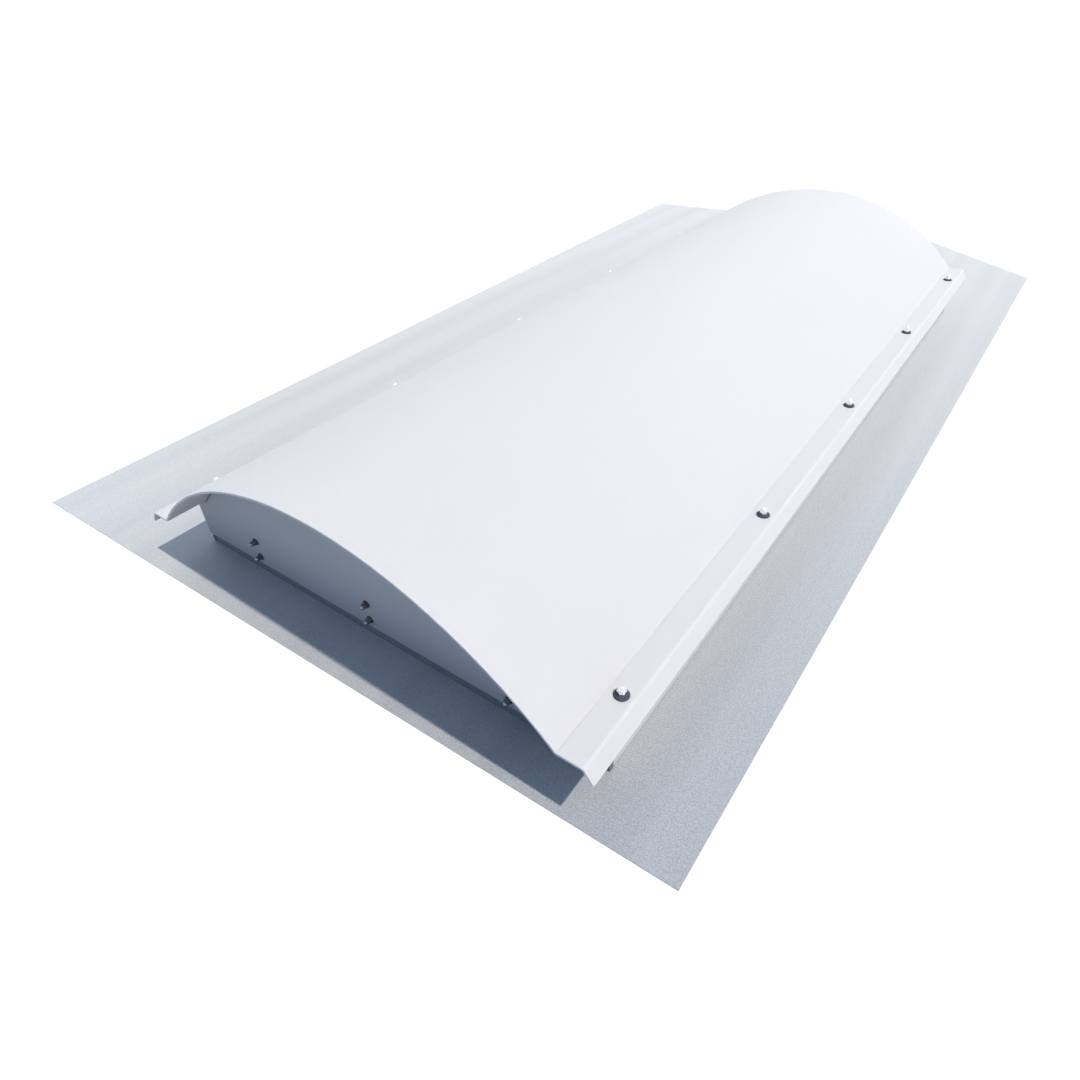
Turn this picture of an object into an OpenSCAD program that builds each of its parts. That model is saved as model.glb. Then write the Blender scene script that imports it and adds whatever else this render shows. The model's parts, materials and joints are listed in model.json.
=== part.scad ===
// Fixed barrel-vault roof skylight on a low kerb with a base flashing.
// Millimetres. +Z is away from the roof, +Y runs along the vault, -Y is the front end.
// The origin is the centre of the kerb, on the underside of the flashing.

/* [Kerb] */
// Width of the kerb over its side rails
kerb_w = 982; // [700:1:1400]
// Length of the kerb over its end rails
kerb_l = 2110; // [1500:1:3200]
// Height of the kerb rails
rail_h = 112; // [100:1:160]
// Width of the rails' top and bottom flanges
rail_flange = 45; // [42:1:60]
// Thickness of the rail metal
rail_t = 3; // [2:0.5:4]
// Inside radius of the rails' bends
rail_bend_r = 2.5; // [1:0.5:3]

/* [Vault sheet] */
// Thickness of the curved sheet
sheet_t = 4; // [3:0.5:6]
// Rise of the vault above its flanges
vault_rise = 195; // [120:1:280]
// Overhang of the sheet past each end of the kerb
vault_overhang = 95; // [60:1:140]
// Width of the flat flange from the crease to the lip
flange_w = 43; // [36:1:50]
// Reach of the flange past the outer face of the kerb
lip_gap = 9; // [6:1:16]
// Drop of the drip lip below the flange
lip_drop = 24; // [16:1:40]
// Slope of the drip lip below the flange, in degrees
lip_angle = 56; // [40:1:75]
// Inside radius of the bend into the lip
lip_bend_r = 3; // [1:0.5:4]

/* [End panels] */
// Thickness of the end panels
panel_t = 12; // [8:1:20]
// Height of the gap under the end panels
panel_foot = 21; // [15:1:30]

/* [Seals] */
// Thickness of the seals under the sheet's flanges
side_seal_t = 4; // [2:0.5:6]
// Width of the seals under the sheet's flanges
side_seal_w = 30; // [24:1:34]
// Thickness of the seals between the end panels and the sheet
arch_seal_t = 4; // [2:0.5:6]
// Step back of the foot seals from the face of the end panels
foot_seal_step = 2; // [1:0.5:5]
// Length of the rubber plug at each end of a foot seal
corner_plug_l = 14; // [6:1:20]
// Height of the corner plugs
corner_plug_h = 12; // [8:1:14]

/* [Flashing] */
// Thickness of the flashing sheets
flash_t = 2; // [1:0.5:3]
// Flashing beyond the kerb's left side, at the front and at the rear corner
margin_left = [447, 554]; // [300:1:700]
// Flashing beyond the kerb's right side, at the front and at the rear corner
margin_right = [160, 180]; // [120:1:300]
// Flashing beyond the kerb's front end, at the left and at the right corner
margin_front = [140, 105]; // [100:1:300]
// Flashing beyond the kerb's rear end, at the left corner, the peak and the right corner
margin_rear = [892, 998, 532]; // [300:1:1100]
// Distance from the kerb's right face inwards to the peak of the rear edge
peak_in = 422; // [250:1:500]
// Distance from the kerb's left face outwards to the left seam
seam_left_out = 164; // [100:1:250]
// Distance from the kerb's right face inwards to the right seam
seam_right_in = 95; // [70:1:140]

/* [Fixings] */
// Bolts along each flange
flange_bolt_n = 5; // [3:1:8]
// Distance from the end of the kerb to the first bolt of a flange
flange_bolt_end = 35; // [25:1:60]
// Columns of studs across each end panel
panel_stud_n = 3; // [2:1:4]
// Distance from the side of an end panel to its first column of studs
panel_stud_end = 181; // [130:1:220]
// Height of the lower stud of a pair above the flashing
panel_stud_low = 39; // [34:1:46]
// Height of the upper stud above the lower one
panel_stud_rise = 37; // [24:1:44]
// Diameter of the bolts through the flanges
flange_bolt_d = 8; // [6:1:8]
// Diameter of the studs through the end panels
panel_stud_d = 6; // [5:1:8]
// Hole clearance on the bolt and stud diameters
bolt_clear = 1; // [0.4:0.1:2]
// Outer diameter of the sealing washers on the flanges
flange_washer_d = 24; // [20:1:28]
// Outer diameter of the sealing washers on the end panels
panel_washer_d = 15; // [14:1:22]
// Thickness of the sealing washers
washer_t = 3.5; // [2:0.5:5]

/* [Roof fixing] */
// Diameter of the screw holes through the kerb's foot
roof_hole_d = 9; // [6:0.5:12]
// Roof screw holes along each side rail
roof_hole_n = 4; // [3:1:6]
// Distance from the end of the kerb to the first roof screw hole
roof_hole_end = 155; // [100:5:240]
// Distance from the kerb's outer face to the roof screw holes
roof_hole_in = 24; // [20:1:30]

/* [Hidden] */

$fn = 64;
// Extra length that lets a cut pass clean through a face
over = 1;
// How far the sloping lip's bend stands proud of its legs, so that arc and leg cross cleanly
bend_swell = 0.02;

// Even places from -half to half
function spread(n, half) = [for (i = [0 : n - 1]) half * (2 * i / (n - 1) - 1)];

// Kerb: half sizes and levels
kerb_x = kerb_w / 2;
kerb_y = kerb_l / 2;
rail_z0 = flash_t;
rail_z1 = rail_z0 + rail_h;
rail_top_under = rail_z1 - rail_t;
rail_end_gap = 0.5;
opening_x = kerb_x - rail_flange;
opening_y = kerb_y - rail_flange;

// Vault sheet: outer surface through both creases and the crown
flange_z0 = rail_z1 + side_seal_t;
flange_z1 = flange_z0 + sheet_t;
flange_x = kerb_x + lip_gap;
crease_x = flange_x - flange_w;
crown_z = flange_z1 + vault_rise;
vault_r = (crease_x * crease_x + vault_rise * vault_rise) / (2 * vault_rise);
vault_cz = crown_z - vault_r;
vault_l = kerb_l + 2 * vault_overhang;
// The flange runs on into the arc by half the mitre of the crease, so that the two join
crease_lap = sheet_t * tan(asin(crease_x / vault_r) / 2) / 2;
lip_outer_r = lip_bend_r + sheet_t;
lip_tangent = lip_outer_r * tan(lip_angle / 2);
lip_len = lip_drop / sin(lip_angle) - lip_tangent;

// End panels stand against the ends of the kerb
panel_x = kerb_x;
panel_y = kerb_y + panel_t;
panel_z0 = flash_t + panel_foot;

// Flashing: outline from its front left corner, and the seams between its three sheets
flash_corners = [
    [-kerb_x - margin_left[0], -kerb_y - margin_front[0]],
    [kerb_x + margin_right[0], -kerb_y - margin_front[1]],
    [kerb_x + margin_right[1], kerb_y + margin_rear[2]],
    [kerb_x - peak_in, kerb_y + margin_rear[1]],
    [-kerb_x - margin_left[1], kerb_y + margin_rear[0]]
];
flash_x0 = -kerb_x - max(margin_left) - over;
flash_x1 = kerb_x + max(margin_right) + over;
flash_y0 = -kerb_y - max(margin_front) - over;
flash_y1 = kerb_y + max(margin_rear) + over;
seam_left_x = -kerb_x - seam_left_out;
seam_right_x = kerb_x - seam_right_in;

// Bolts, studs and dome nuts, sized by the thread diameter, and where they sit
function bolt_hole(d) = d + bolt_clear;
function hex_across_flats(d) = d * 13 / 8;
function hex_across_corners(d) = hex_across_flats(d) / cos(30);
function head_h(d) = d * 0.66;
function nut_hex_h(d) = d * 0.8;
function nut_dome_r(d) = d * 0.78;
function nut_dome_z(d) = d * 1.08;
function nut_bore_depth(d) = d * 1.35;
nut_thread_gap = 0.1;
bolt_tip_gap = 0.5;
bolt_head_gap = 0.5;
flange_bolt_x = kerb_x - rail_t - rail_bend_r - bolt_head_gap - hex_across_flats(flange_bolt_d) / 2;
flange_bolt_ys = spread(flange_bolt_n, kerb_y - flange_bolt_end);
panel_stud_xs = spread(panel_stud_n, panel_x - panel_stud_end);
panel_stud_zs = [flash_t + panel_stud_low, flash_t + panel_stud_low + panel_stud_rise];

// Roof screw holes, and foot rivets midway between them and across the ends
roof_hole_x = kerb_x - roof_hole_in;
roof_hole_ys = spread(roof_hole_n, kerb_y - roof_hole_end);
foot_rivet_ys = [for (i = [1 : roof_hole_n - 1]) (roof_hole_ys[i - 1] + roof_hole_ys[i]) / 2];
foot_rivet_n = 3;
foot_rivet_end = 166;
foot_rivet_xs = spread(foot_rivet_n, opening_x - foot_rivet_end);

// Countersunk rivets
rivet_d = 5;
rivet_head_d = 8;
rivet_head_h = 1.5;
rivet_tail_d = 8;
rivet_tail_h = 2;

// Corner cleats
cleat_t = 3;
cleat_short = 32;
cleat_h = rail_h - cleat_short;
cleat_lap = 50;
cleat_leg_x = rail_flange - rail_t + cleat_lap;
cleat_leg_y = 62;
cleat_rivet_rise = cleat_h / 2;
cleat_rivet_edge = 20;
cleat_z0 = rail_z0 + (rail_h - cleat_h) / 2;
cleat_rivet_zs = [for (s = [-1, 1]) rail_z0 + rail_h / 2 + s * cleat_rivet_rise / 2];

alu_colour = [0.74, 0.75, 0.77];
kerb_colour = [0.82, 0.83, 0.85];
sheet_colour = [0.95, 0.95, 0.97];
panel_colour = [0.78, 0.80, 0.83];
seal_colour = [0.45, 0.48, 0.52];
dark_rubber_colour = [0.16, 0.17, 0.19];
dark_steel_colour = [0.26, 0.27, 0.29];
chrome_colour = [0.86, 0.87, 0.90];

// Placing helpers

// Extrudes an X-Z outline along Y, centred
module along_y(l) {
    translate([0, l / 2, 0]) rotate([90, 0, 0]) linear_extrude(l) children();
}

// Extrudes a Y-Z outline along X, centred
module along_x(l) {
    translate([-l / 2, 0, 0]) rotate([90, 0, 90]) linear_extrude(l) children();
}

// Right side as drawn, left side mirrored
module on_side(left) {
    mirror([left ? 1 : 0, 0, 0]) children();
}

// Front end as drawn, rear end mirrored
module at_end(rear) {
    mirror([0, rear ? 1 : 0, 0]) children();
}

// Turns a fastener drawn upwards so that it points out of the front end
module facing_front() {
    rotate([90, 0, 0]) children();
}

// Outlines shared by several pieces

// Area on the inner side of a bend of radius r about the origin: one leg runs to -x,
// the other is turned down by the bend angle. Grow lengthens the open ends, and swell
// sets the arc proud of the legs.
module bend_area(leg_a, leg_b, angle, r, grow, swell) {
    arc_r = r + swell;
    translate([-leg_a - grow, -grow]) square([leg_a + grow, r + grow]);
    rotate(-angle) translate([0, -grow]) square([leg_b + grow, r + grow]);
    intersection() {
        circle(r = arc_r);
        rotate(-angle / 2) translate([-arc_r, 0]) square([2 * arc_r, arc_r]);
    }
}

// Strip of thickness t folded once, with inside radius r
module folded_strip(leg_a, leg_b, angle, r, t, swell = 0) {
    difference() {
        bend_area(leg_a, leg_b, angle, r + t, 0, swell);
        bend_area(leg_a, leg_b, angle, r, over, swell);
    }
}

// Rectangle with its two corners at x = 0 rounded
module round_backed(w, h, r) {
    translate([r, 0]) square([w - r, h]);
    translate([0, r]) square([r, h - 2 * r]);
    for (y = [r, h - r]) translate([r, y]) circle(r = r);
}

// Folded channel with its web at x = 0 and its flanges towards +x
module channel_outline() {
    difference() {
        round_backed(rail_flange, rail_h, rail_bend_r + rail_t);
        translate([rail_t, rail_t]) round_backed(rail_flange, rail_h - 2 * rail_t, rail_bend_r);
    }
}

// Right flange of the sheet with its bent drip lip
module flange_outline() {
    flat_w = flange_w - lip_tangent;
    translate([crease_x + flat_w, flange_z0 - lip_bend_r])
        folded_strip(flat_w + crease_lap, lip_len, lip_angle, lip_bend_r, sheet_t, bend_swell);
}

// Whole section of the sheet: arc, sharp creases, flanges and lips
module vault_outline() {
    intersection() {
        translate([0, vault_cz]) difference() {
            circle(r = vault_r, $fn = 180);
            circle(r = vault_r - sheet_t, $fn = 180);
        }
        translate([-flange_x, flange_z0]) square([2 * flange_x, crown_z]);
    }
    for (m = [0, 1]) mirror([m, 0]) flange_outline();
}

// Face that fits under the sheet with a gap left for a seal
module under_vault_outline(gap) {
    shoulder_z = flange_z0 - gap;
    translate([-panel_x, panel_z0]) square([2 * panel_x, shoulder_z - panel_z0]);
    intersection() {
        translate([0, vault_cz]) circle(r = vault_r - sheet_t - gap, $fn = 180);
        translate([-crease_x, panel_z0]) square([2 * crease_x, crown_z]);
    }
}

// Fasteners, drawn upwards from the face they sit on

// Stud that stands on z = 0 and ends inside the nut
module stud(d, grip) {
    cylinder(d = d, h = grip + nut_bore_depth(d) - bolt_tip_gap);
}

// Hexagonal bolt: its head hangs below z = 0
module hex_bolt(d, grip) {
    rotate([0, 0, 30]) translate([0, 0, -head_h(d)])
        cylinder(d = hex_across_corners(d), h = head_h(d), $fn = 6);
    stud(d, grip);
}

// Dome nut with a blind threaded bore
module dome_nut(d) {
    dome_r = nut_dome_r(d);
    dome_z = nut_dome_z(d);
    difference() {
        union() {
            rotate([0, 0, 30]) cylinder(d = hex_across_corners(d), h = nut_hex_h(d), $fn = 6);
            rotate_extrude() intersection() {
                union() {
                    square([dome_r, dome_z]);
                    translate([0, dome_z]) circle(r = dome_r);
                }
                square([dome_r, dome_z + dome_r]);
            }
        }
        translate([0, 0, -over]) cylinder(d = d + 2 * nut_thread_gap, h = nut_bore_depth(d) + over);
    }
}

// Sealing washer with a chamfered rim
module sealing_washer(hole, outer) {
    rim = washer_t * 0.55;
    rotate_extrude() polygon([
        [hole / 2, 0], [outer / 2, 0], [outer / 2, washer_t - rim],
        [outer / 2 - rim, washer_t], [hole / 2, washer_t]
    ]);
}

// Shank and flush head of a rivet, also used to cut its hole
module rivet_shank(grip) {
    cylinder(d1 = rivet_head_d, d2 = rivet_d, h = rivet_head_h);
    cylinder(d = rivet_d, h = grip);
}

// Set rivet: flush head at z = 0, upset tail beyond the grip
module rivet(grip) {
    rivet_shank(grip);
    translate([0, 0, grip]) cylinder(d = rivet_tail_d, h = rivet_tail_h);
}

// Places for fasteners

module at_flange_bolts(z) {
    for (y = flange_bolt_ys) translate([flange_bolt_x, y, z]) children();
}

// Holes for the flange bolts, up from a face at z
module flange_bolt_holes(z, depth) {
    at_flange_bolts(z - over) cylinder(d = bolt_hole(flange_bolt_d), h = depth + 2 * over);
}

module at_panel_studs(y) {
    for (x = panel_stud_xs, z = panel_stud_zs) translate([x, y, z]) facing_front() children();
}

module at_foot_rivets() {
    for (y = foot_rivet_ys, s = [-1, 1]) translate([s * roof_hole_x, y, 0]) children();
    for (x = foot_rivet_xs, s = [-1, 1]) translate([x, s * (kerb_y - roof_hole_in), 0]) children();
}

// Rivets of the front right cleat: two through the side rail, two through the end rail
module at_cleat_rivets() {
    for (z = cleat_rivet_zs) {
        translate([kerb_x, -kerb_y + cleat_leg_y - cleat_rivet_edge, z]) rotate([0, -90, 0]) children();
        translate([opening_x - cleat_lap + cleat_rivet_edge, -kerb_y, z]) rotate([-90, 0, 0]) children();
    }
}

module at_corners() {
    for (left = [false, true], rear = [false, true]) on_side(left) at_end(rear) children();
}

module roof_holes() {
    for (y = roof_hole_ys, s = [-1, 1])
        translate([s * roof_hole_x, y, -over]) cylinder(d = roof_hole_d, h = rail_h / 2);
}

// Sub-parts

module flashing_sheet(x0, x1) {
    color(alu_colour) difference() {
        linear_extrude(flash_t) intersection() {
            polygon(flash_corners);
            translate([x0, flash_y0]) square([x1 - x0, flash_y1 - flash_y0]);
        }
        translate([-opening_x, -opening_y, -over]) cube([2 * opening_x, 2 * opening_y, flash_t + 2 * over]);
        roof_holes();
        at_foot_rivets() rivet_shank(flash_t + over);
    }
}

module side_rail(left) {
    color(kerb_colour) difference() {
        on_side(left) along_y(kerb_l) translate([kerb_x, rail_z0]) mirror([1, 0]) channel_outline();
        on_side(left) flange_bolt_holes(rail_top_under, rail_t);
        roof_holes();
        at_foot_rivets() rivet_shank(rail_z0 + rail_t + over);
        at_corners() at_cleat_rivets() rivet_shank(rail_t + over);
    }
}

module end_rail(rear) {
    color(kerb_colour) difference() {
        at_end(rear) along_x(2 * (opening_x - rail_end_gap)) translate([-kerb_y, rail_z0]) channel_outline();
        at_foot_rivets() rivet_shank(rail_z0 + rail_t + over);
        at_corners() at_cleat_rivets() rivet_shank(rail_t + over);
    }
}

module corner_cleat(left, rear) {
    corner_x = kerb_x - rail_t;
    corner_y = -kerb_y + rail_t;
    bend_out = cleat_t + rail_bend_r;
    color(kerb_colour) on_side(left) at_end(rear) difference() {
        translate([corner_x - bend_out, corner_y + bend_out, cleat_z0]) linear_extrude(cleat_h) mirror([0, 1])
            folded_strip(cleat_leg_x - bend_out, cleat_leg_y - rail_t - bend_out, 90, rail_bend_r, cleat_t);
        at_cleat_rivets() rivet_shank(rail_t + cleat_t + over);
    }
}

module cleat_rivets() {
    color(alu_colour) at_corners() at_cleat_rivets() rivet(rail_t + cleat_t);
}

module foot_rivets() {
    color(alu_colour) at_foot_rivets() rivet(rail_z0 + rail_t);
}

module end_panel(rear) {
    color(panel_colour) at_end(rear) difference() {
        translate([0, -kerb_y - panel_t / 2, 0]) along_y(panel_t) under_vault_outline(arch_seal_t);
        at_panel_studs(-kerb_y + over) cylinder(d = bolt_hole(panel_stud_d), h = panel_t + 2 * over);
    }
}

module arch_seal(rear) {
    color(seal_colour) at_end(rear) translate([0, -kerb_y - panel_t / 2, 0]) along_y(panel_t) difference() {
        under_vault_outline(0);
        under_vault_outline(arch_seal_t);
    }
}

module foot_seal(rear) {
    length = 2 * (kerb_x - corner_plug_l);
    depth = panel_t - foot_seal_step;
    color(seal_colour) at_end(rear)
        translate([-length / 2, -kerb_y - depth, flash_t]) cube([length, depth, panel_foot]);
}

// Low blocks that close the ends of the foot seals and leave a slot above them for water
module corner_plugs() {
    depth = panel_t - foot_seal_step;
    color(dark_rubber_colour) at_corners() translate([kerb_x - corner_plug_l, -kerb_y - depth, flash_t])
        cube([corner_plug_l, depth, corner_plug_h]);
}

module side_seal(left) {
    color(seal_colour) on_side(left) difference() {
        translate([kerb_x - side_seal_w, -kerb_y, rail_z1]) cube([side_seal_w, kerb_l, side_seal_t]);
        flange_bolt_holes(rail_z1, side_seal_t);
    }
}

module vault_sheet() {
    color(sheet_colour) difference() {
        along_y(vault_l) vault_outline();
        for (left = [false, true]) on_side(left) flange_bolt_holes(flange_z0, sheet_t);
    }
}

module flange_bolts(left) {
    grip = flange_z1 - rail_top_under + washer_t;
    color(chrome_colour) on_side(left) at_flange_bolts(rail_top_under) hex_bolt(flange_bolt_d, grip);
}

module flange_washers(left) {
    color(dark_rubber_colour) on_side(left) at_flange_bolts(flange_z1)
        sealing_washer(bolt_hole(flange_bolt_d), flange_washer_d);
}

module flange_nuts(left) {
    color(chrome_colour) on_side(left) at_flange_bolts(flange_z1 + washer_t) dome_nut(flange_bolt_d);
}

// Studs welded to the outer face of the end rail
module panel_studs(rear) {
    grip = panel_t + washer_t;
    color(chrome_colour) at_end(rear) at_panel_studs(-kerb_y) stud(panel_stud_d, grip);
}

module panel_washers(rear) {
    color(dark_rubber_colour) at_end(rear) at_panel_studs(-panel_y)
        sealing_washer(bolt_hole(panel_stud_d), panel_washer_d);
}

module panel_nuts(rear) {
    color(dark_steel_colour) at_end(rear) at_panel_studs(-panel_y - washer_t) dome_nut(panel_stud_d);
}

flashing_sheet(flash_x0, seam_left_x);  // flashing_left
flashing_sheet(seam_left_x, seam_right_x);  // flashing_centre
flashing_sheet(seam_right_x, flash_x1);  // flashing_right
side_rail(left = true);  // kerb_rail_left
side_rail(left = false);  // kerb_rail_right
end_rail(rear = false);  // kerb_rail_front
end_rail(rear = true);  // kerb_rail_rear
corner_cleat(left = true, rear = false);  // corner_cleat_front_left
corner_cleat(left = false, rear = false);  // corner_cleat_front_right
corner_cleat(left = true, rear = true);  // corner_cleat_rear_left
corner_cleat(left = false, rear = true);  // corner_cleat_rear_right
cleat_rivets();
foot_rivets();
end_panel(rear = false);  // end_panel_front
end_panel(rear = true);  // end_panel_rear
foot_seal(rear = false);  // foot_seal_front
foot_seal(rear = true);  // foot_seal_rear
corner_plugs();
side_seal(left = true);  // side_seal_left
side_seal(left = false);  // side_seal_right
arch_seal(rear = false);  // arch_seal_front
arch_seal(rear = true);  // arch_seal_rear
vault_sheet();
flange_bolts(left = true);  // flange_bolts_left
flange_bolts(left = false);  // flange_bolts_right
flange_washers(left = true);  // flange_washers_left
flange_washers(left = false);  // flange_washers_right
flange_nuts(left = true);  // flange_nuts_left
flange_nuts(left = false);  // flange_nuts_right
panel_studs(rear = false);  // panel_studs_front
panel_studs(rear = true);  // panel_studs_rear
panel_washers(rear = false);  // panel_washers_front
panel_washers(rear = true);  // panel_washers_rear
panel_nuts(rear = false);  // panel_nuts_front
panel_nuts(rear = true);  // panel_nuts_rear
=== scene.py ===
import json
import math

import bpy
from mathutils import Matrix, Vector

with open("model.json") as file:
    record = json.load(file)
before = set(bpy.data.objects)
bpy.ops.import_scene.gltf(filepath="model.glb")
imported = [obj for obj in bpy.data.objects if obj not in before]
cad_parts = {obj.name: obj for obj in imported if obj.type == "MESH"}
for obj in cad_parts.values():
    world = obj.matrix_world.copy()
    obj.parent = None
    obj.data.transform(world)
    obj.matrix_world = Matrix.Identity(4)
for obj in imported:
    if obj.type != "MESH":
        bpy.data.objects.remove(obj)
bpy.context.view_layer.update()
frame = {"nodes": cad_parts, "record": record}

# Looks of a barrel-vault roof skylight: opal sheet, satin flashing, grey seals and bright fixings.
# Metres, in the part's own frame: +X right, +Y to the rear, +Z up from the roof plane.

nodes = frame["nodes"]
record = frame["record"]

# Camera of the reference view, in a square image
CAMERA_PLACE = Vector((0.7754, -1.5816, 0.9003))
CAMERA_HEADING = math.radians(37.42)
CAMERA_PITCH = math.radians(38.38)
CAMERA_ROLL = math.radians(-2.28)
CAMERA_SENSOR = 36.0
CAMERA_LENS = 23.22
CAMERA_NEAREST = 0.02

# Key light: a soft sun from the right, with no lean along the vault
SUN_OFF_VERTICAL = math.radians(29)
SUN_STRENGTH = 4.0
SUN_ANGLE = math.radians(1.5)
SUN_COLOUR = (1.0, 0.957, 0.89)

# Fill light by direction: dim behind the camera, bright on the far side of the object
FAR_SIDE = Vector((-0.6, 0.8, 0.0))
FILL_STOPS = [
    (-0.30, (0.070, 0.175, 0.370)),
    (0.05, (0.260, 0.430, 0.720)),
    (0.38, (0.39, 0.56, 0.82)),
    (0.62, (0.80, 0.93, 1.06)),
    (0.80, (0.87, 0.97, 1.06)),
]
# More fill from the right: none up to the first X of a direction, all of it from the second on
RIGHT_FROM, RIGHT_TO = 0.35, 0.85
RIGHT_FILL = 0.55
# More fill from above, by the Z of a direction in the same way
TOP_FROM, TOP_TO = 0.60, 0.95
TOP_FILL = 0.30
EXTRA_COLOUR = (0.85, 1.0, 1.2)

# Floor under the part, and what the background shows
FLOOR_SIZE = 160.0
FLOOR_DROP = 0.0005
FLOOR_WHITE_SHARE = 0.7
FLOOR_BOUNCE = (0.48, 0.51, 0.55)
FLOOR_SEEN = (0.95, 0.95, 0.95)
BLACK = (0.0, 0.0, 0.0)
WHITE = (1.0, 1.0, 1.0)

# Range of a noise value that a tint or a roughness spreads over
NOISE_LOW, NOISE_HIGH = 0.3, 0.7
# Narrower range of the flashing's grain, for crisp pebbles
PEBBLE_LOW, PEBBLE_HIGH = 0.38, 0.62

# Tints of the sheets, each from its dark to its light end
SHEET_BROAD = ((0.488, 0.465, 0.449), (0.503, 0.479, 0.461))
SHEET_FINE = ((0.482, 0.459, 0.444), (0.509, 0.485, 0.466))
# End panel tints: set dark and bluish, below the panels' own pale grey, as painted shade for the shade the
# panels stand in.
PANEL_SHADED_BROAD = ((0.315, 0.328, 0.344), (0.350, 0.364, 0.380))
PANEL_SHADED_FINE = ((0.307, 0.320, 0.336), (0.358, 0.372, 0.388))
KERB_BROAD = ((0.46, 0.475, 0.485), (0.50, 0.515, 0.525))
KERB_FINE = ((0.45, 0.465, 0.475), (0.51, 0.525, 0.535))
FLASHING_STREAK = ((0.064, 0.084, 0.112), (0.100, 0.122, 0.152))
FLASHING_CLOUD = ((0.074, 0.094, 0.122), (0.092, 0.113, 0.142))
FLASHING_GRAIN = ((0.030, 0.044, 0.064), (0.136, 0.160, 0.194))
BLOOM_GRAIN = ((0.58, 0.55, 0.51), (1.0, 0.95, 0.88))
BLOOM_STREAK = ((0.78, 0.74, 0.685), (1.0, 0.95, 0.88))
# Share of the fine tint over the broad one
FINE_SHARE = 0.4
FLASHING_FINE_SHARE = 0.45
EVEN_SHARE = 0.5

# Rubbers by slot: dark and light tint, and roughness
RUBBERS = {
    "seal": ((0.13, 0.145, 0.165), (0.18, 0.195, 0.215), 0.66),
    "plug": ((0.095, 0.102, 0.114), (0.135, 0.143, 0.157), 0.70),
    "washer": ((0.018, 0.021, 0.036), (0.034, 0.039, 0.060), 0.72),
}
RUBBER_ROUGHNESS_SPREAD = 0.08

# Bare metals by slot: dark and light tint, roughness, and strength of the scratches
METALS = {
    "rivet": ((0.66, 0.67, 0.69), (0.74, 0.75, 0.76), 0.34, 0.1),
    "bolt": ((0.52, 0.53, 0.55), (0.62, 0.63, 0.65), 0.36, 0.15),
    "dome_nut": ((0.80, 0.81, 0.83), (0.88, 0.885, 0.90), 0.13, 0.05),
    # Panel nuts: the same kind of nut as the dome nuts, in a dark tint that is painted shade for the shaded
    # end panels.
    "panel_nut": ((0.16, 0.175, 0.21), (0.22, 0.235, 0.27), 0.30, 0.1),
}
METAL_SMOOTHEST, METAL_ROUGHEST = 0.8, 1.3

# Smallest edge roundings, by material slot
EDGE_ROUND = {
    "opal_sheet": 0.0006,
    "end_panel": 0.0010,
    "flashing": 0.0009,
    "kerb": 0.0004,
    "seal": 0.0006,
    "plug": 0.0006,
    "washer": 0.0004,
    "bolt": 0.0003,
    "dome_nut": 0.0003,
    "panel_nut": 0.0003,
}
EDGE_ANGLE = math.radians(40)
EDGE_SEGMENTS = 2


# Shader helpers

def new_material(name):
    """A material with one Principled shader: gives the material, its node tree and the shader."""
    mat = bpy.data.materials.new(name)
    mat.use_nodes = True
    tree = mat.node_tree
    tree.nodes.clear()
    out = tree.nodes.new("ShaderNodeOutputMaterial")
    surface = tree.nodes.new("ShaderNodeBsdfPrincipled")
    tree.links.new(surface.outputs["BSDF"], out.inputs["Surface"])
    return mat, tree, surface


def part_noise(tree, scale, detail, along=1.0):
    """Noise in the part's own coordinates: features per metre, drawn out along Y where along is under 1."""
    place = tree.nodes.new("ShaderNodeTexCoord")
    mapping = tree.nodes.new("ShaderNodeMapping")
    mapping.inputs["Scale"].default_value = (1.0, along, 1.0)
    noise = tree.nodes.new("ShaderNodeTexNoise")
    noise.inputs["Scale"].default_value = scale
    noise.inputs["Detail"].default_value = detail
    tree.links.new(place.outputs["Object"], mapping.inputs["Vector"])
    tree.links.new(mapping.outputs["Vector"], noise.inputs["Vector"])
    return noise.outputs["Fac"]


def between(tree, value, low, high, value_low=NOISE_LOW, value_high=NOISE_HIGH):
    """Maps a value from its own range to a number between low and high."""
    node = tree.nodes.new("ShaderNodeMapRange")
    node.inputs["From Min"].default_value = value_low
    node.inputs["From Max"].default_value = value_high
    node.inputs["To Min"].default_value = low
    node.inputs["To Max"].default_value = high
    tree.links.new(value, node.inputs["Value"])
    return node.outputs["Result"]


def calculate(tree, operation, first, second):
    """One operation on two values."""
    node = tree.nodes.new("ShaderNodeMath")
    node.operation = operation
    tree.links.new(first, node.inputs[0])
    tree.links.new(second, node.inputs[1])
    return node.outputs["Value"]


def mix_colours(tree, factor, first, second, blend="MIX"):
    """Mixes two colours by a factor. Each of the three is a constant or another node's output."""
    node = tree.nodes.new("ShaderNodeMix")
    node.data_type = "RGBA"
    node.blend_type = blend
    for name, value in (("Factor", factor), ("A", first), ("B", second)):
        if isinstance(value, bpy.types.NodeSocket):
            tree.links.new(value, node.inputs[name])
        elif name == "Factor":
            node.inputs[name].default_value = value
        else:
            node.inputs[name].default_value = (*value, 1.0)
    return node.outputs["Result"]


def tint(tree, noise, dark, light):
    """A colour between dark and light, by a noise value."""
    return mix_colours(tree, between(tree, noise, 0.0, 1.0), dark, light)


def bump(tree, height, depth, strength, under=None):
    """The normal of a bump by its height value, depth in metres and strength, over another bump's normal."""
    node = tree.nodes.new("ShaderNodeBump")
    node.inputs["Strength"].default_value = strength
    node.inputs["Distance"].default_value = depth
    tree.links.new(height, node.inputs["Height"])
    if under is not None:
        tree.links.new(under, node.inputs["Normal"])
    return node.outputs["Normal"]


def seen_rays(tree):
    """1 for rays that show the background: from the camera, in mirrors and through glass."""
    path = tree.nodes.new("ShaderNodeLightPath")
    total = path.outputs["Is Camera Ray"]
    for kind in ("Is Glossy Ray", "Is Transmission Ray"):
        total = calculate(tree, "MAXIMUM", total, path.outputs[kind])
    return total


# Materials, one for each slot of the record

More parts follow.
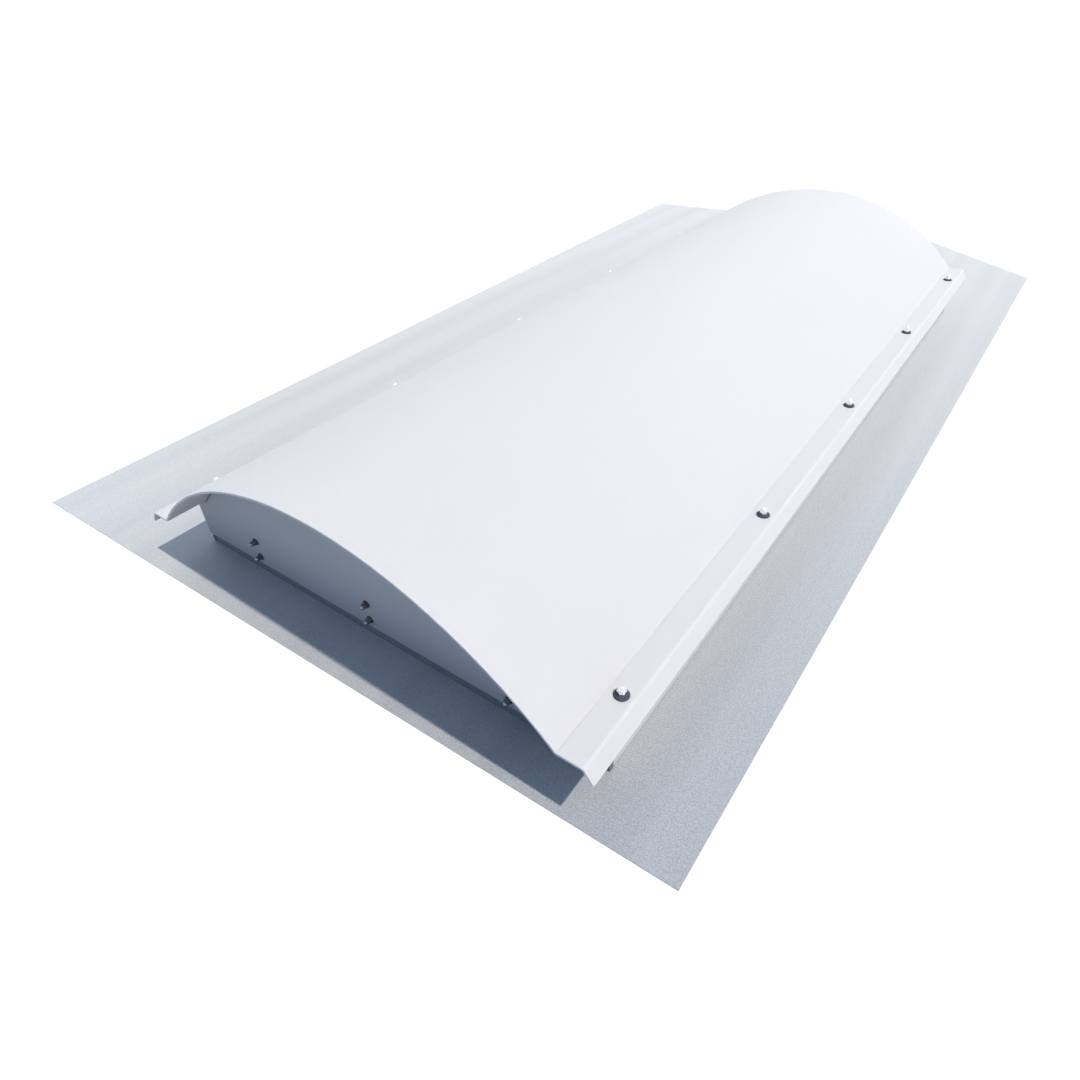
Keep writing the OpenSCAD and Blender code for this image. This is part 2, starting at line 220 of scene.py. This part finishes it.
def opal_sheet():
    """Moulded opal sheet: satin, faintly rippled, and lets some light through."""
    mat, tree, surface = new_material("opal_sheet")
    cloud = part_noise(tree, scale=2.2, detail=2.0, along=0.35)
    grain = part_noise(tree, scale=420.0, detail=2.0)
    ripple = part_noise(tree, scale=5.0, detail=1.0, along=0.25)
    broad = tint(tree, cloud, *SHEET_BROAD)
    fine = tint(tree, grain, *SHEET_FINE)
    tree.links.new(mix_colours(tree, FINE_SHARE, broad, fine), surface.inputs["Base Color"])
    tree.links.new(between(tree, cloud, low=0.50, high=0.58), surface.inputs["Roughness"])
    surface.inputs["IOR"].default_value = 1.49
    surface.inputs["Specular IOR Level"].default_value = 0.1
    surface.inputs["Subsurface Weight"].default_value = 0.8
    surface.inputs["Subsurface Radius"].default_value = (1.0, 1.0, 1.0)
    surface.inputs["Subsurface Scale"].default_value = 0.007
    waves = bump(tree, ripple, depth=0.002, strength=0.12)
    tree.links.new(bump(tree, grain, depth=0.0001, strength=0.08, under=waves), surface.inputs["Normal"])
    return mat


def end_panel():
    """Pressed panel with a fine matt grain, tinted dark and bluish as painted shade."""
    mat, tree, surface = new_material("end_panel")
    cloud = part_noise(tree, scale=6.0, detail=3.0)
    grain = part_noise(tree, scale=500.0, detail=3.0)
    broad = tint(tree, cloud, *PANEL_SHADED_BROAD)
    fine = tint(tree, grain, *PANEL_SHADED_FINE)
    tree.links.new(mix_colours(tree, FINE_SHARE, broad, fine), surface.inputs["Base Color"])
    tree.links.new(between(tree, grain, low=0.52, high=0.66), surface.inputs["Roughness"])
    tree.links.new(bump(tree, grain, depth=0.00015, strength=0.25), surface.inputs["Normal"])
    return mat


def rolled_sheet():
    """Coated flashing metal: pebbled grain, faint streaks along the roll and a pale bloom at low angles."""
    mat, tree, surface = new_material("flashing")
    streak = part_noise(tree, scale=14.0, detail=4.0, along=0.03)
    cloud = part_noise(tree, scale=2.5, detail=3.0)
    pebbles = part_noise(tree, scale=430.0, detail=2.0)
    grain = between(tree, pebbles, NOISE_LOW, NOISE_HIGH, PEBBLE_LOW, PEBBLE_HIGH)
    broad = mix_colours(
        tree, EVEN_SHARE, tint(tree, streak, *FLASHING_STREAK), tint(tree, cloud, *FLASHING_CLOUD)
    )
    fine = tint(tree, grain, *FLASHING_GRAIN)
    tree.links.new(mix_colours(tree, FLASHING_FINE_SHARE, broad, fine), surface.inputs["Base Color"])
    surface.inputs["IOR"].default_value = 1.4
    tree.links.new(between(tree, grain, low=0.32, high=0.42), surface.inputs["Roughness"])
    bloom = mix_colours(tree, EVEN_SHARE, tint(tree, grain, *BLOOM_GRAIN), tint(tree, streak, *BLOOM_STREAK))
    surface.inputs["Sheen Weight"].default_value = 1.0
    surface.inputs["Sheen Roughness"].default_value = 0.92
    tree.links.new(bloom, surface.inputs["Sheen Tint"])
    waves = bump(tree, cloud, depth=0.004, strength=0.05)
    tree.links.new(bump(tree, grain, depth=0.0005, strength=0.6, under=waves), surface.inputs["Normal"])
    return mat


def folded_rail():
    """White coated kerb metal, with the faint lines of its drawing direction."""
    mat, tree, surface = new_material("kerb")
    line = part_noise(tree, scale=160.0, detail=3.0, along=0.02)
    cloud = part_noise(tree, scale=7.0, detail=3.0)
    broad = tint(tree, cloud, *KERB_BROAD)
    fine = tint(tree, line, *KERB_FINE)
    tree.links.new(mix_colours(tree, FINE_SHARE, broad, fine), surface.inputs["Base Color"])
    tree.links.new(between(tree, line, low=0.42, high=0.54), surface.inputs["Roughness"])
    tree.links.new(bump(tree, line, depth=0.0002, strength=0.12), surface.inputs["Normal"])
    return mat


def moulded_rubber(name, dark, light, rough):
    """Matt rubber with a fine moulded grain."""
    mat, tree, surface = new_material(name)
    grain = part_noise(tree, scale=900.0, detail=3.0)
    cloud = part_noise(tree, scale=40.0, detail=2.0)
    fine = tint(tree, grain, dark, light)
    broad = tint(tree, cloud, dark, light)
    tree.links.new(mix_colours(tree, EVEN_SHARE, fine, broad), surface.inputs["Base Color"])
    smoothest = rough - RUBBER_ROUGHNESS_SPREAD
    roughest = rough + RUBBER_ROUGHNESS_SPREAD
    tree.links.new(between(tree, grain, smoothest, roughest), surface.inputs["Roughness"])
    tree.links.new(bump(tree, grain, depth=0.00012, strength=0.3), surface.inputs["Normal"])
    return mat


def bright_metal(name, dark, light, rough, scratch):
    """Bare metal: polished or brushed, with fine scratches of a given strength."""
    mat, tree, surface = new_material(name)
    marks = part_noise(tree, scale=900.0, detail=4.0, along=0.2)
    cloud = part_noise(tree, scale=120.0, detail=2.0)
    tree.links.new(tint(tree, cloud, dark, light), surface.inputs["Base Color"])
    surface.inputs["Metallic"].default_value = 1.0
    spread = between(tree, marks, rough * METAL_SMOOTHEST, rough * METAL_ROUGHEST)
    tree.links.new(spread, surface.inputs["Roughness"])
    tree.links.new(bump(tree, marks, depth=0.00004, strength=scratch), surface.inputs["Normal"])
    return mat


def dress_nodes():
    """Gives every CAD node the material of its slot, and a small rounding of its edges where its slot has
    one listed.
    """
    looks = {
        "opal_sheet": opal_sheet(),
        "end_panel": end_panel(),
        "flashing": rolled_sheet(),
        "kerb": folded_rail(),
    }
    for name, values in RUBBERS.items():
        looks[name] = moulded_rubber(name, *values)
    for name, values in METALS.items():
        looks[name] = bright_metal(name, *values)
    for subpart in record["subparts"]:
        piece = nodes[subpart["node"]]
        name = subpart["material_slot"]
        piece.data.materials.clear()
        piece.data.materials.append(looks[name])
        if name in EDGE_ROUND:
            bevel = piece.modifiers.new("edge_round", "BEVEL")
            bevel.width = EDGE_ROUND[name]
            bevel.segments = EDGE_SEGMENTS
            bevel.limit_method = "ANGLE"
            bevel.angle_limit = EDGE_ANGLE
            bevel.harden_normals = True


# Stage: floor, light and camera

def make_floor():
    """A pale floor that shows nearly white, keeps soft shadows and sends little light back."""
    half = FLOOR_SIZE / 2
    mesh = bpy.data.meshes.new("floor")
    corners = [(x, y, -FLOOR_DROP) for x, y in ((-half, -half), (half, -half), (half, half), (-half, half))]
    mesh.from_pydata(corners, [], [(0, 1, 2, 3)])
    floor = bpy.data.objects.new("floor", mesh)
    bpy.context.scene.collection.objects.link(floor)
    mat = bpy.data.materials.new("floor")
    mat.use_nodes = True
    tree = mat.node_tree
    tree.nodes.clear()
    out = tree.nodes.new("ShaderNodeOutputMaterial")
    pale = tree.nodes.new("ShaderNodeBsdfDiffuse")
    pale.inputs["Color"].default_value = (*FLOOR_SEEN, 1.0)
    white = tree.nodes.new("ShaderNodeEmission")
    bounce = tree.nodes.new("ShaderNodeBsdfDiffuse")
    bounce.inputs["Color"].default_value = (*FLOOR_BOUNCE, 1.0)
    seen = tree.nodes.new("ShaderNodeMixShader")
    seen.inputs["Fac"].default_value = FLOOR_WHITE_SHARE
    tree.links.new(pale.outputs["BSDF"], seen.inputs[1])
    tree.links.new(white.outputs["Emission"], seen.inputs[2])
    final = tree.nodes.new("ShaderNodeMixShader")
    tree.links.new(seen_rays(tree), final.inputs["Fac"])
    tree.links.new(bounce.outputs["BSDF"], final.inputs[1])
    tree.links.new(seen.outputs["Shader"], final.inputs[2])
    tree.links.new(final.outputs["Shader"], out.inputs["Surface"])
    mesh.materials.append(mat)


def fill_ramp(tree, along):
    """The fill's colour by how far a direction points to the far side, from -1 to 1."""
    ramp = tree.nodes.new("ShaderNodeValToRGB")
    stops = ramp.color_ramp.elements
    while len(stops) < len(FILL_STOPS):
        stops.new(0.5)
    for stop, (where, colour) in zip(stops, FILL_STOPS):
        stop.position = (where + 1.0) / 2.0
        stop.color = (*colour, 1.0)
    tree.links.new(between(tree, along, 0.0, 1.0, -1.0, 1.0), ramp.inputs["Fac"])
    return ramp.outputs["Color"]


def make_fill():
    """World light by direction: dim on the near side, bright on the far side. It shows as plain white."""
    world = bpy.data.worlds.new("fill")
    bpy.context.scene.world = world
    world.use_nodes = True
    tree = world.node_tree
    tree.nodes.clear()
    out = tree.nodes.new("ShaderNodeOutputWorld")
    background = tree.nodes.new("ShaderNodeBackground")
    place = tree.nodes.new("ShaderNodeTexCoord")
    along = tree.nodes.new("ShaderNodeVectorMath")
    along.operation = "DOT_PRODUCT"
    along.inputs[1].default_value = FAR_SIDE
    axes = tree.nodes.new("ShaderNodeSeparateXYZ")
    tree.links.new(place.outputs["Generated"], along.inputs[0])
    tree.links.new(place.outputs["Generated"], axes.inputs["Vector"])
    right = between(tree, axes.outputs["X"], 0.0, RIGHT_FILL, RIGHT_FROM, RIGHT_TO)
    top = between(tree, axes.outputs["Z"], 0.0, TOP_FILL, TOP_FROM, TOP_TO)
    extra = mix_colours(tree, calculate(tree, "ADD", right, top), BLACK, EXTRA_COLOUR)
    light = mix_colours(tree, 1.0, fill_ramp(tree, along.outputs["Value"]), extra, blend="ADD")
    shown = mix_colours(tree, seen_rays(tree), light, WHITE)
    tree.links.new(shown, background.inputs["Color"])
    tree.links.new(background.outputs["Background"], out.inputs["Surface"])


def make_sun():
    """The key light."""
    lamp = bpy.data.lights.new("key", "SUN")
    lamp.energy = SUN_STRENGTH
    lamp.angle = SUN_ANGLE
    lamp.color = SUN_COLOUR
    sun = bpy.data.objects.new("key", lamp)
    sun.rotation_euler = (0.0, SUN_OFF_VERTICAL, 0.0)
    bpy.context.scene.collection.objects.link(sun)


def make_camera():
    """The camera of the reference view."""
    data = bpy.data.cameras.new("camera")
    data.sensor_width = CAMERA_SENSOR
    data.lens = CAMERA_LENS
    data.clip_start = CAMERA_NEAREST
    data.clip_end = FLOOR_SIZE * 2
    camera = bpy.data.objects.new("camera", data)
    turn = Matrix.Rotation(CAMERA_HEADING, 4, "Z")
    tilt = Matrix.Rotation(math.pi / 2 - CAMERA_PITCH, 4, "X")
    roll = Matrix.Rotation(CAMERA_ROLL, 4, "Z")
    camera.matrix_world = Matrix.Translation(CAMERA_PLACE) @ turn @ tilt @ roll
    bpy.context.scene.collection.objects.link(camera)
    bpy.context.scene.camera = camera


bpy.context.scene.view_settings.view_transform = "Standard"
dress_nodes()
make_floor()
make_fill()
make_sun()
make_camera()
